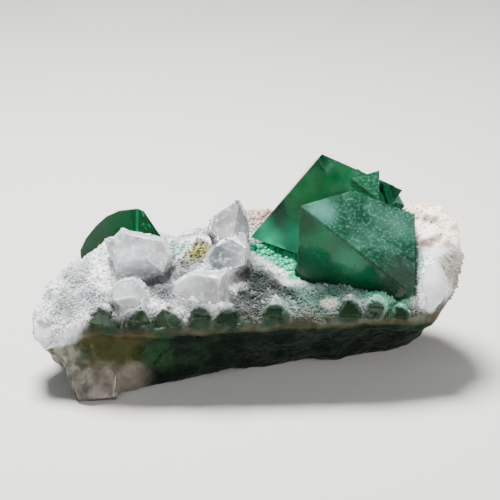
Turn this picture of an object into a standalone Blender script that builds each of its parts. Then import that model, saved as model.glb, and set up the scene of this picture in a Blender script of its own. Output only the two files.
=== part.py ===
"""Fluorite specimen: green octahedral fluorite on a slab of drusy quartz, resting on its flat-cut underside.

Places are written in millimetres and turned into metres by MM. +X runs along the specimen, +Y is its back
and +Z is up. The origin ends at the middle of the base, under the middle of the specimen's box.
"""

import itertools
import math
import random

import bmesh
import bpy
from mathutils import Euler, Matrix, Vector, noise

MM = 0.001

# Overall sizes
LEFT_END = -60.0
RIGHT_END = 60.0
SOCKET_GAP = 0.3

# Relief of the rock: (height, spacing) of the coarse and of the fine unevenness
COARSE_RELIEF = (2.2, 10.5)
FINE_RELIEF = (1.6, 4.8)

# The rock as a skin over rails that run from the left end to the right end
RAIL_STEPS = 44
END_CROWDING = 0.09
SEAM_LEDGE = 1.6
LEAST_LEDGE = 0.01
LEDGE_FADE = 16.0
SEAM_RELIEF = 0.3
SEAM_CALM = 6.0
TIP_CALM = 7.0
LEDGE_STEPS = 1
RING_STEPS = {
    "base_front": 3,
    "lower_front": 3,
    "seam": 4,
    "shoulder": 5,
    "top_middle": 3,
    "top_step": 3,
    "top_back": 4,
    "back_rim": 3,
    "back_low": 2,
    "base_back": 3,
}

# Small quartz points that stud the upper rock. They keep clear of this share of a large octahedron
CLEAR_SHARE = 0.8
POINT_COUNT = 70
POINT_SPACING = 5.6
POINT_WIDTH = (3.0, 5.6)
POINT_SINK = 0.25
POINT_HEIGHT = 0.95
POINT_LAG = 0.12
POINT_SWAY = 0.35
POINT_FLOOR = 11.0
POINT_OVERHANG = -0.25
POINT_TRIES = 6000
POINT_SEED = 5

# Limits within which planes count as parallel, corners as one corner and faces as one flat face
PARALLEL = 1e-5
TOUCHING = 2e-3
FLAT_ANGLE = math.radians(0.5)

# Crystal angles
OCTAHEDRON_FACES = [
    Vector((x, y, z)).normalized() for x in (1, -1) for y in (1, -1) for z in (1, -1)
]
QUARTZ_TIP_ANGLE = math.radians(51.8)

# The crystals' outlines are drawn on a plane that leans back from upright by this angle
LEAN = math.radians(22.0)
LEANING = Matrix(
    (
        (1, 0, 0),
        (0, math.sin(LEAN), -math.cos(LEAN)),
        (0, math.cos(LEAN), math.sin(LEAN)),
    )
)

# Rails of the rock, each a list of (along, depth, height)
RAILS = {
    "base_front": [
        (-60, -9, 13), (-57, -10, 9.5), (-52, -13, 5), (-47, -19, 0), (-34, -15, -0.5), (-25, -11, -0.5),
        (-14, -5, -0.5), (0, 0, -0.5), (14, 4, -0.5), (27, 8, -0.5), (38, 11, -0.5), (46, 11, 1.5),
        (50, 6, 11), (54, 0, 20), (58, 0, 26), (61, 4, 33),
    ],
    "lower_front": [
        (-60, -12, 15), (-57, -14, 13), (-52, -16, 11), (-47, -20, 9), (-35, -19, 9), (-22, -16, 10),
        (-14, -13, 10), (0, -10, 10), (14, -8, 11), (27, -5, 12), (38, -2, 12), (46, -1, 11),
        (51, -4, 16), (56, -2, 24), (61, 2, 32.5),
    ],
    "seam": [
        (-60, -12, 17), (-57, -15, 17), (-52, -18, 18), (-47, -20, 19.5), (-35, -22, 20), (-22, -22, 20),
        (-14, -22, 21), (0, -21, 21.5), (14, -20, 22), (27, -19, 22), (40, -17, 21), (46, -15, 20),
        (51, -11, 19.5), (56, -5, 24), (61, 1.5, 33),
    ],
    "shoulder": [
        (-60, -10, 19), (-57, -11, 21), (-52, -13, 23), (-47, -14, 25), (-35, -14, 27), (-22, -14, 28.5),
        (-14, -14, 28), (0, -13, 27), (14, -14, 27), (27, -15, 27), (38, -14, 27), (46, -8, 31),
        (51, -5, 33), (56, -3, 33), (61, 1.5, 34.5),
    ],
    "top_middle": [
        (-60, -7, 20), (-57, -3, 24), (-52, -2, 27), (-47, 0, 30), (-40, 1, 31), (-22, 6, 30),
        (-14, 7, 31), (0, 8, 31.5), (14, 6, 30), (27, 5, 29), (38, 6, 30), (46, 6, 36),
        (51, 5, 39), (56, 4, 40), (61, 2.5, 36.5),
    ],
    "top_step": [
        (-60, -5.5, 19.8), (-57, 0, 24), (-52, 3, 28), (-47, 7, 32.5), (-41, 8, 34), (-33, 11, 33),
        (-22, 15, 31), (-14, 16, 32), (0, 15, 32.5), (14, 15, 34), (27, 15, 35), (38, 15, 35.5),
        (46, 13, 39.5), (51, 12, 41.5), (56, 9, 42), (61, 4, 37.2),
    ],
    "top_back": [
        (-60, -4, 19), (-57, 2, 23.5), (-52, 8, 28), (-47, 14, 30.5), (-43, 16, 32), (-31, 22, 32.5),
        (-22, 24, 31), (-14, 25, 33), (-5, 25, 36), (0, 24, 38.5), (6, 23, 39.5), (20, 24, 38),
        (35, 23, 39), (45, 20, 41.5), (51, 18, 42), (56, 13, 42), (61, 5.5, 37),
    ],
    "back_rim": [
        (-60, -3, 17), (-57, 5, 18), (-52, 15, 18), (-47, 21, 18), (-34, 30, 20), (-14, 34, 22),
        (0, 35, 24), (27, 36, 25), (38, 35, 26), (46, 32, 27), (50, 28, 29), (54, 23, 31),
        (58, 16, 33), (61, 7.5, 35),
    ],
    "back_low": [
        (-60, -3, 15), (-57, 3, 13), (-52, 12, 10), (-47, 18, 7), (-34, 27, 8), (-14, 31, 8),
        (0, 33, 8), (27, 34, 9), (38, 33, 10), (46, 30, 14), (50, 26, 18), (54, 21, 24),
        (58, 15, 29), (61, 7.5, 34),
    ],
    "base_back": [
        (-60, -5, 13), (-57, -2, 9.5), (-52, 4, 4), (-47, 10, -1), (-34, 20, -1), (-14, 26, -1),
        (0, 28, -1), (14, 29, -1), (27, 29, -1), (38, 27, 0), (46, 22, 4), (50, 18, 12),
        (54, 14, 20), (58, 10, 26), (61, 6.5, 33),
    ],
}

# The two large fluorite octahedra and the small ones beside them: (centre, half diagonal, turn in degrees)
FRONT_FLUORITE = ((29.6, 8.3, 32.8), 28.1, (137.5, 8.0, -55.8))
REAR_FLUORITE = ((23.6, 17.6, 39.7), 24.3, (-148.8, -65.4, -110.4))
SIDE_FLUORITES = [
    ((32.2, 10.6, 50.2), 7.0, (137.5, 8.0, -55.8)),
    ((38.0, 12.4, 48.0), 5.4, (-148.8, -65.4, -110.4)),
]
FLUORITE_ROOT = 21.0

# Faces cut across the octahedra: (point, outward direction on the leaning plane)
FRONT_FLUORITE_CUTS = [((36.6, 4.9, 49.0), (0.32, 0.95, -0.20))]
REAR_FLUORITE_CUTS = [
    ((42.5, 20.0, 44.5), (0.87, 0.49, -0.15)),
    ((23.6, 27.8, 35.6), (0.10, 0.22, -0.97)),
]
FLUORITE_BLADE = {
    "centre": (28.3, 9.0, 53.3),
    "outline": [(-2.8, -2.8), (-0.8, 2.5), (1.9, 3.6), (2.8, 3.0), (0.0, -3.3)],
    "faces": [((0.10, 0.10, 0.99), 1.0)],
    "reach": 3.0,
    "flare": 0.0,
}

# Crystals drawn by their outline: centre, outline on the leaning plane, front faces as (direction,
# distance), reach behind the outline, and how much each side face flares towards the rock
OUTLINED = {
    "left_fluorite_crystal": {
        "centre": (-36.5, 15.0, 31.7),
        "outline": [
            (-12.3, -1.6), (-10.6, 2.0), (-7.7, 5.6), (-4.8, 8.2), (-1.1, 9.9), (4.2, 10.5),
            (7.9, 9.1), (9.9, 7.1), (11.7, 3.6), (12.6, 1.0), (12.6, -8.0), (-11.5, -8.0),
        ],
        "faces": [
            ((-0.34, 0.30, 0.89), 5.6), ((0.56, 0.28, 0.78), 6.4), ((-0.30, 0.42, -0.86), 6.2),
            ((0.45, 0.40, -0.80), 6.4),
        ],
        "reach": 6.0,
        "flare": 0.06,
    },
    "large_quartz_crystal": {
        "centre": (-30.8, -3.5, 36.0),
        "outline": [
            (-8.6, 3.6), (-5.2, 6.8), (6.3, 4.4), (8.7, 0.0), (6.9, -5.2), (-0.8, -6.6), (-5.8, -4.7),
        ],
        "faces": [((-0.16, 0.30, 0.94), 4.4), ((0.50, 0.06, 0.86), 5.6), ((0.0, -0.55, 0.83), 5.0)],
        "reach": 7.4,
        "flare": 0.10,
    },
    "small_quartz_crystal": {
        "centre": (-33.0, -16.5, 30.0),
        "outline": [
            (-4.9, 1.4), (-2.7, 3.4), (0.9, 4.3), (4.1, 2.0), (4.6, -0.7), (3.0, -3.4), (-1.1, -4.7),
            (-4.5, -2.0),
        ],
        "faces": [((-0.20, 0.34, 0.92), 2.7), ((0.62, 0.10, 0.78), 3.4), ((0.0, -0.62, 0.78), 3.3)],
        "reach": 5.0,
        "flare": 0.08,
    },
    "quartz_block": {
        "centre": (-12.9, -15.0, 31.0),
        "outline": [
            (-8.0, 1.5), (-3.0, 4.1), (6.2, 4.2), (6.9, 2.2), (6.2, -4.6), (3.5, -4.9), (-4.6, -3.4),
            (-8.0, -1.4),
        ],
        "faces": [((-0.12, 0.12, 0.98), 3.0), ((0.05, 0.72, 0.69), 4.3), ((0.80, 0.0, 0.60), 5.7)],
        "reach": 5.0,
        "flare": 0.08,
    },
    "left_end_quartz_crystal": {
        "centre": (-55.6, -13.5, 16.6),
        "outline": [
            (-4.3, 2.2), (-2.7, 4.0), (0.8, 3.9), (3.8, 2.2), (3.4, -2.0), (-0.9, -4.2), (-3.9, -1.2),
        ],
        "faces": [((-0.22, 0.30, 0.93), 3.6), ((0.50, -0.20, 0.84), 3.9), ((-0.10, -0.60, 0.79), 3.8)],
        "reach": 4.6,
        "flare": 0.06,
    },
    "lower_left_quartz_root": {
        "centre": (-43.8, -18.8, 5.2),
        "outline": [
            (-6.9, 3.6), (0.8, 5.2), (7.4, 2.2), (6.8, -5.2), (-3.9, -5.8), (-5.2, -1.8),
        ],
        "faces": [((-0.42, 0.06, 0.90), 3.6), ((0.24, 0.14, 0.96), 3.4)],
        "reach": 9.0,
        "flare": 0.10,
    },
    "right_quartz_crystal": {
        "centre": (50.6, -8.0, 28.0),
        "outline": [
            (-3.6, 1.1), (-1.5, 6.8), (1.6, 7.8), (3.8, 1.9), (3.2, -3.0), (-0.8, -7.6), (-3.9, -6.2),
        ],
        "faces": [((-0.30, 0.20, 0.93), 3.6), ((0.52, 0.16, 0.84), 3.8)],
        "reach": 10.0,
        "flare": 0.08,
    },
}
MIDDLE_QUARTZ = {
    "spike": {
        "centre": (-5.6, 7.0, 41.6),
        "outline": [
            (-4.7, 2.0), (2.3, 6.6), (4.4, 2.1), (5.2, -2.1), (4.6, -8.4), (0.3, -7.4), (-5.6, -2.7),
        ],
        "faces": [((-0.30, 0.36, 0.88), 3.0), ((0.74, 0.10, 0.67), 3.7)],
        "reach": 6.0,
        "flare": 0.05,
    },
    "foot": {
        "centre": (-6.2, -1.4, 34.6),
        "outline": [
            (-6.0, -0.8), (-3.6, 3.3), (1.1, 5.2), (5.5, 2.5), (5.0, -2.5), (-0.6, -4.7), (-5.0, -3.6),
        ],
        "faces": [((0.16, 0.34, 0.93), 3.2), ((-0.55, 0.12, 0.83), 3.6)],
        "reach": 11.0,
        "flare": 0.12,
    },
    "link": {
        "centre": (-5.0, 3.0, 37.0),
        "outline": [(-4.6, 0.0), (-1.2, 3.8), (4.0, 2.0), (4.4, -3.4), (-2.0, -4.6)],
        "faces": [((-0.10, 0.40, 0.91), 3.0)],
        "reach": 7.0,
        "flare": 0.05,
    },
}

# Fluorite crystals along the seam: (along, depth, height, half diagonal, turn in degrees)
SEAM_FLUORITES = [
    (-40.2, -17.6, 22.6, 4.6, (8, 4, 30)),
    (-30.1, -18.4, 23.2, 3.6, (-6, 10, 52)),
    (-23.2, -18.2, 22.4, 4.6, (10, -14, 20)),
    (-13.7, -18.0, 24.2, 3.7, (0, 8, 48)),
    (-6.0, -18.2, 23.2, 4.4, (12, 0, 36)),
    (7.1, -17.2, 24.6, 4.6, (-4, 6, 46)),
    (27.3, -16.8, 25.2, 4.4, (6, -4, 44)),
    (34.6, -17.2, 26.0, 3.5, (0, 10, 40)),
    (41.4, -15.4, 23.6, 3.0, (8, -8, 50)),
]

FLUORITE_GREEN = (0.020, 0.210, 0.095)
SEAM_GREEN = (0.030, 0.120, 0.060)
QUARTZ_WHITE = (0.78, 0.79, 0.81)
ROCK_WHITE = (0.66, 0.68, 0.68)


def clear_scene():
    for obj in list(bpy.data.objects):
        bpy.data.objects.remove(obj)


def material(name, colour, roughness, transmission=0.0, ior=1.5):
    made = bpy.data.materials.new(name)
    made.use_nodes = True
    shader = made.node_tree.nodes["Principled BSDF"]
    shader.inputs["Base Color"].default_value = (*colour, 1)
    shader.inputs["Roughness"].default_value = roughness
    shader.inputs["Metallic"].default_value = 0.0
    shader.inputs["Transmission Weight"].default_value = transmission
    shader.inputs["IOR"].default_value = ior
    return made


def object_from(bm, name, finish=None):
    """A named object in metres from a mesh in millimetres."""
    bmesh.ops.scale(bm, vec=(MM, MM, MM), verts=bm.verts)
    bmesh.ops.recalc_face_normals(bm, faces=bm.faces)
    mesh = bpy.data.meshes.new(name)
    bm.to_mesh(mesh)
    bm.free()
    obj = bpy.data.objects.new(name, mesh)
    bpy.context.scene.collection.objects.link(obj)
    obj.parent = SPECIMEN
    if finish:
        mesh.materials.append(finish)
    return obj


def helper(obj):
    obj.hide_render = True
    obj.display_type = "WIRE"
    return obj


def combine(obj, others, operation, crossing=False):
    """Joins the other objects to this one, or cuts them from it, all in one exact step.

    crossing says that one of the others holds bodies that run through each other.
    """
    group = bpy.data.collections.new(others[0].name + "_group")
    bpy.context.scene.collection.children.link(group)
    group.hide_render = True
    for other in others:
        bpy.context.scene.collection.objects.unlink(other)
        group.objects.link(other)
    step = obj.modifiers.new(group.name, "BOOLEAN")
    step.operation = operation
    step.solver = "EXACT"
    step.use_self = crossing
    step.operand_type = "COLLECTION"
    step.collection = group


def cut_solid(bm, planes):
    """Adds to bm the convex solid that lies behind every plane, each a (point, outward direction)."""
    corners = []
    for trio in itertools.combinations(planes, 3):
        directions = Matrix([direction for _, direction in trio])
        if abs(directions.determinant()) < PARALLEL:
            continue
        place = directions.inverted() @ Vector([point.dot(direction) for point, direction in trio])
        behind = all((place - point).dot(direction) < TOUCHING for point, direction in planes)
        if behind and all((place - corner).length > TOUCHING for corner in corners):
            corners.append(place)
    verts = [bm.verts.new(corner) for corner in corners]
    hull = bmesh.ops.convex_hull(bm, input=verts)
    edges = {item for item in hull["geom"] if isinstance(item, bmesh.types.BMEdge)}
    bmesh.ops.dissolve_limit(bm, angle_limit=FLAT_ANGLE, verts=verts, edges=list(edges))
    loose = [vert for vert in verts if vert.is_valid and not vert.link_faces]
    bmesh.ops.delete(bm, geom=loose, context="VERTS")


def grown(planes, grow):
    return [(point + direction * grow, direction) for point, direction in planes]


def octahedron_planes(centre, half_diagonal, degrees, cuts=()):
    """The planes of an octahedron, and of the cuts across it."""
    turn = Euler([math.radians(angle) for angle in degrees]).to_matrix()
    inner = half_diagonal / math.sqrt(3)
    planes = []
    for face in OCTAHEDRON_FACES:
        direction = turn @ face
        planes.append((Vector(centre) + direction * inner, direction))
    for point, leaning_direction in cuts:
        planes.append((Vector(point), (LEANING @ Vector(leaning_direction)).normalized()))
    return planes


def outlined_planes(centre, outline, faces, reach, flare):
    """The planes of a crystal: one for each side of its outline, its front faces and its back."""
    centre = Vector(centre)
    planes = []
    for (u0, v0), (u1, v1) in zip(outline, outline[1:] + outline[:1]):
        side = Vector((v0 - v1, u1 - u0, 0)).normalized()
        direction = (LEANING @ Vector((side.x, side.y, flare))).normalized()
        middle = LEANING @ Vector(((u0 + u1) / 2, (v0 + v1) / 2, 0))
        planes.append((centre + middle, direction))
    for leaning_direction, distance in faces:
        direction = (LEANING @ Vector(leaning_direction)).normalized()
        planes.append((centre + direction * distance, direction))
    back = LEANING @ Vector((0, 0, -1))
    planes.append((centre + back * reach, back))
    return planes


def outline_radius(shape):
    return max(math.hypot(*corner) for corner in shape["outline"])


def crystal(name, planes, finish):
    """A crystal and the slightly larger cutter of its socket in the rock."""
    bm = bmesh.new()
    cut_solid(bm, planes)
    obj = object_from(bm, name, finish)
    bm = bmesh.new()
    cut_solid(bm, grown(planes, SOCKET_GAP))
    return obj, helper(object_from(bm, name + "_socket"))


def along_rail(rail, x):
    """(depth, height) of a rail at x, on a smooth curve through its points."""
    last = len(rail) - 1
    span = 0
    while span < last - 1 and rail[span + 1][0] < x:
        span += 1
    before = rail[max(span - 1, 0)]
    start = rail[span]
    end = rail[span + 1]
    after = rail[min(span + 2, last)]
    width = end[0] - start[0]
    t = min(max((x - start[0]) / width, 0), 1)
    found = []
    for axis in (1, 2):
        leave = (end[axis] - before[axis]) / (end[0] - before[0]) * width
        arrive = (after[axis] - start[axis]) / (after[0] - start[0]) * width
        found.append(
            (2 * t**3 - 3 * t**2 + 1) * start[axis]
            + (t**3 - 2 * t**2 + t) * leave
            + (3 * t**2 - 2 * t**3) * end[axis]
            + (t**3 - t**2) * arrive
        )
    return found


def curve_point(before, start, end, after, t):
    """A point of the smooth curve from start to end that keeps clear of loops where knots lie close."""
    spans = [max((b - a).length, TOUCHING) ** 0.5 for a, b in ((before, start), (start, end), (end, after))]
    leave = (start - before) / spans[0] - (end - before) / (spans[0] + spans[1]) + (end - start) / spans[1]
    arrive = (end - start) / spans[1] - (after - start) / (spans[1] + spans[2]) + (after - end) / spans[2]
    leave = leave * spans[1]
    arrive = arrive * spans[1]
    return (
        (2 * t**3 - 3 * t**2 + 1) * start
        + (t**3 - 2 * t**2 + t) * leave
        + (3 * t**2 - 2 * t**3) * end
        + (t**3 - t**2) * arrive
    )


def ring_at(x):
    """The rock's outline across the specimen at x, as one closed smooth loop of places."""
    knots = []
    ledge = SEAM_LEDGE * min(1, (RIGHT_END - abs(x)) / LEDGE_FADE) ** 2 + LEAST_LEDGE
    for name, rail in RAILS.items():
        depth, height = along_rail(rail, x)
        if name == "seam":
            knots.append((Vector((x, depth + ledge, height - ledge)), LEDGE_STEPS))
        knots.append((Vector((x, depth, height)), RING_STEPS[name]))
    ring = []
    for index, (start, steps) in enumerate(knots):
        before = knots[index - 1][0]
        end = knots[(index + 1) % len(knots)][0]
        after = knots[(index + 2) % len(knots)][0]
        ring += [curve_point(before, start, end, after, step / steps) for step in range(steps)]
    return ring


def relief(place):
    height = 0.0
    for rise, spacing in (COARSE_RELIEF, FINE_RELIEF):
        height += rise * noise.noise(place / spacing)
    return height


def calm(place):
    """How much of the relief is kept at a place: little on the ledge of the seam and at the two tips."""
    depth, height = along_rail(RAILS["seam"], place.x)
    away = math.hypot(place.y - depth, place.z - height)
    to_tip = min(place.x - LEFT_END, RIGHT_END - place.x)
    return min(SEAM_RELIEF + (1 - SEAM_RELIEF) * away / SEAM_CALM, max(0, to_tip) / TIP_CALM, 1)


def rock_mesh():
    """The rock: rings along the specimen, bridged and capped, made uneven, then cut flat underneath."""
    bm = bmesh.new()
    loops = []
    for station in range(RAIL_STEPS + 1):
        t = station / RAIL_STEPS
        t -= END_CROWDING * math.sin(2 * math.pi * t)
        x = LEFT_END + (RIGHT_END - LEFT_END) * t
        verts = [bm.verts.new(place) for place in ring_at(x)]
        loops.append([bm.edges.new(pair) for pair in zip(verts, verts[1:] + verts[:1])])
    for loop, following in zip(loops, loops[1:]):
        bmesh.ops.bridge_loops(bm, edges=loop + following)
    for loop in (loops[0], loops[-1]):
        cap = bmesh.ops.holes_fill(bm, edges=loop, sides=0)["faces"]
        bmesh.ops.poke(bm, faces=cap)
    bmesh.ops.recalc_face_normals(bm, faces=bm.faces)
    bm.normal_update()
    moves = [vert.normal * relief(vert.co) * calm(vert.co) for vert in bm.verts]
    for vert, move in zip(bm.verts, moves):
        vert.co += move
    whole = bm.verts[:] + bm.edges[:] + bm.faces[:]
    cut = bmesh.ops.bisect_plane(bm, geom=whole, plane_co=(0, 0, 0), plane_no=(0, 0, -1), clear_outer=True)
    rim = [item for item in cut["geom_cut"] if isinstance(item, bmesh.types.BMEdge)]
    bmesh.ops.holes_fill(bm, edges=rim, sides=0)
    return bm


def quartz_point_planes(foot, axis, width, roll):
    """The planes of a six-sided quartz point that stands on foot along axis."""
    across = axis.orthogonal().normalized()
    planes = [(foot - axis * width, -axis)]
    tip = foot + axis * width * (POINT_HEIGHT - POINT_SINK)
    for side in range(6):
        turn = Matrix.Rotation(roll + side * math.pi / 3, 3, axis)
        out = turn @ across
        planes.append((foot + out * width / 2, out))
        slope = (out * math.sin(QUARTZ_TIP_ANGLE) + axis * math.cos(QUARTZ_TIP_ANGLE)).normalized()
        lag = POINT_LAG * width if side % 2 else 0.0
        planes.append((tip - slope * lag, slope))
    return planes


def stud_with_points(rock, keep_clear):
    """The small quartz points, spread over the upper rock away from the crystals and each other."""
    draw = random.Random(POINT_SEED)
    faces = [face for face in rock.faces if face.calc_center_median().z > POINT_FLOOR]
    areas = [face.calc_area() for face in faces]
    placed = []
    bm = bmesh.new()
    for face in draw.choices(faces, areas, k=POINT_TRIES):
        foot = face.calc_center_median()
        width = draw.uniform(*POINT_WIDTH)
        if len(placed) == POINT_COUNT or face.normal.z < POINT_OVERHANG:
            continue
        if any((foot - other).length < POINT_SPACING for other in placed):
            continue
        if any((foot - centre).length < radius + width for centre, radius in keep_clear):
            continue
        sway = Vector((draw.uniform(-1, 1), draw.uniform(-1, 1), draw.uniform(-0.4, 1)))
        axis = (face.normal + POINT_SWAY * sway).normalized()
        cut_solid(bm, quartz_point_planes(foot, axis, width, draw.uniform(0, math.pi)))
        placed.append(foot)
    return bm


def centre_on_base(objects):
    """Moves the specimen so that its box stands on the origin."""
    bpy.context.view_layer.update()
    graph = bpy.context.evaluated_depsgraph_get()
    corners = []
    for obj in objects:
        seen = obj.evaluated_get(graph)
        corners += [seen.matrix_world @ Vector(corner) for corner in seen.bound_box]
    for axis in (0, 1):
        low = min(corner[axis] for corner in corners)
        high = max(corner[axis] for corner in corners)
        SPECIMEN.location[axis] -= (low + high) / 2


clear_scene()
SPECIMEN = bpy.data.objects.new("specimen", None)
bpy.context.scene.collection.objects.link(SPECIMEN)

fluorite = material("green_fluorite", FLUORITE_GREEN, 0.12, transmission=0.9, ior=1.434)
seam_fluorite = material("seam_fluorite", SEAM_GREEN, 0.25, transmission=0.5, ior=1.434)
quartz = material("milky_quartz", QUARTZ_WHITE, 0.25, transmission=0.2, ior=1.545)
rock_finish = material("drusy_quartz_rock", ROCK_WHITE, 0.55)

pieces = []
sockets = []
keep_clear = []

# The large fluorite cluster
root = [(Vector((0, 0, FLUORITE_ROOT)), Vector((0, 0, -1)))]
front_planes = octahedron_planes(*FRONT_FLUORITE, FRONT_FLUORITE_CUTS) + root
rear_planes = octahedron_planes(*REAR_FLUORITE, REAR_FLUORITE_CUTS) + root
cluster, front_socket = crystal("large_fluorite_cluster", front_planes, fluorite)
rear, rear_socket = crystal("rear_fluorite", rear_planes, fluorite)
joined = [helper(rear)]
for number, (centre, half_diagonal, degrees) in enumerate(SIDE_FLUORITES, start=1):
    bm = bmesh.new()
    cut_solid(bm, octahedron_planes(centre, half_diagonal, degrees))
    joined.append(helper(object_from(bm, f"side_fluorite_{number}", fluorite)))
bm = bmesh.new()
cut_solid(bm, outlined_planes(**FLUORITE_BLADE))
joined.append(helper(object_from(bm, "fluorite_blade", fluorite)))
combine(cluster, joined, "UNION")
pieces.append(cluster)
sockets += [front_socket, rear_socket]
for centre, half_diagonal, _ in (FRONT_FLUORITE, REAR_FLUORITE):
    keep_clear.append((Vector(centre), CLEAR_SHARE * half_diagonal))

# The left fluorite crystal and the quartz crystals
for name, shape in OUTLINED.items():
    planes = outlined_planes(**shape)
    if name == "lower_left_quartz_root":
        planes.append((Vector((0, 0, 0)), Vector((0, 0, -1))))
    finish = fluorite if "fluorite" in name else quartz
    obj, socket = crystal(name, planes, finish)
    pieces.append(obj)
    sockets.append(socket)
    keep_clear.append((Vector(shape["centre"]), outline_radius(shape)))

# The middle quartz crystals, grown into one another
shapes = list(MIDDLE_QUARTZ.items())
middle, socket = crystal("middle_quartz_crystals", outlined_planes(**shapes[0][1]), quartz)
pieces.append(middle)
sockets.append(socket)
joined = []
for name, shape in shapes[1:]:
    grown_in, socket = crystal("middle_quartz_" + name, outlined_planes(**shape), quartz)
    joined.append(helper(grown_in))
    sockets.append(socket)
combine(middle, joined, "UNION")
keep_clear += [(Vector(shape["centre"]), outline_radius(shape)) for _, shape in shapes]

# The fluorite crystals along the seam
for number, (x, y, z, half_diagonal, degrees) in enumerate(SEAM_FLUORITES, start=1):
    planes = octahedron_planes((x, y, z), half_diagonal, degrees)
    obj, socket = crystal(f"seam_fluorite_{number}", planes, seam_fluorite)
    pieces.append(obj)
    sockets.append(socket)
    keep_clear.append((Vector((x, y, z)), half_diagonal))

# The rock, studded with small points, with a socket for each crystal
bm = rock_mesh()
points = helper(object_from(stud_with_points(bm, keep_clear), "quartz_points"))
rock = object_from(bm, "quartz_matrix", rock_finish)
combine(rock, [points], "UNION", crossing=True)
combine(rock, sockets, "DIFFERENCE")
pieces.append(rock)

centre_on_base(pieces)
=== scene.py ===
"""The looks of a fluorite specimen: green octahedral crystals and milky quartz on a druse-covered rock."""

import math
import random

import bmesh
import bpy
from mathutils import Matrix, Vector, noise
from mathutils.bvhtree import BVHTree


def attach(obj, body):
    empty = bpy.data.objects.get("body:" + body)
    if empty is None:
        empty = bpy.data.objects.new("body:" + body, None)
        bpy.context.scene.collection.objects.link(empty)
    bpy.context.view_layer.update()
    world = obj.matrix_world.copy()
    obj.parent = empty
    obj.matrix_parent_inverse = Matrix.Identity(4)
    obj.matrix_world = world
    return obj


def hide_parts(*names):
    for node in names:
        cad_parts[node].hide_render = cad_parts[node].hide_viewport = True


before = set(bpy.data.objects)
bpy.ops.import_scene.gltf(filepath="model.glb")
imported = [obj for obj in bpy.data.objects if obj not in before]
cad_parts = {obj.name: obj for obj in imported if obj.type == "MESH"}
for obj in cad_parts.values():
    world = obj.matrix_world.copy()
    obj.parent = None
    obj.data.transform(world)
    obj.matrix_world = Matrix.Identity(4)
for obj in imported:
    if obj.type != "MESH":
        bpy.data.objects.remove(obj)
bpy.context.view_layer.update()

# The studio: a sheet of pale card, a broad soft light above and a little behind the specimen, a weaker one
# in front of it, and a camera on a long lens that looks down at the front of the specimen.
MM = 0.001
CAMERA_PLACE = Vector((-0.33, -547.6, 254.6)) * MM
CAMERA_AIM = Vector((-0.33, -7.1, 36.2)) * MM
CAMERA_LENS = 150
FLOOR_SIZE = 6.0
CARD_WHITE = (0.55, 0.55, 0.54, 1)
CARD_GREY = (0.5, 0.5, 0.49, 1)
CARD_MOTTLE = 4.0 * MM
CARD_FIBRE = 0.8 * MM
CARD_RELIEF = 0.04 * MM
ROOM_LIGHT = (0.93, 0.96, 1.0, 1)
ROOM_STRENGTH = 0.1
# Round lamps, as (place, width, watts, colour), in millimetres
LIGHTS = {
    "overhead_light": ((-90, 130, 480), 220, 12.5, (1.0, 0.98, 0.95)),
    "front_light": ((-260, -420, 300), 300, 0.8, (0.95, 0.98, 1.0)),
    "right_light": ((380, -270, 120), 150, 2.4, (1.0, 0.97, 0.93)),
}


class Value:
    """A number, colour or place that a finish works out all over a surface; arithmetic on it adds nodes."""

    def __init__(self, finish, socket):
        self.finish = finish
        self.socket = socket

    def __add__(self, other):
        return self.finish.math("ADD", self, other)

    def __sub__(self, other):
        return self.finish.math("SUBTRACT", self, other)

    def __rsub__(self, other):
        return self.finish.math("SUBTRACT", other, self)

    def __mul__(self, other):
        return self.finish.math("MULTIPLY", self, other)

    __radd__ = __add__
    __rmul__ = __mul__


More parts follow.
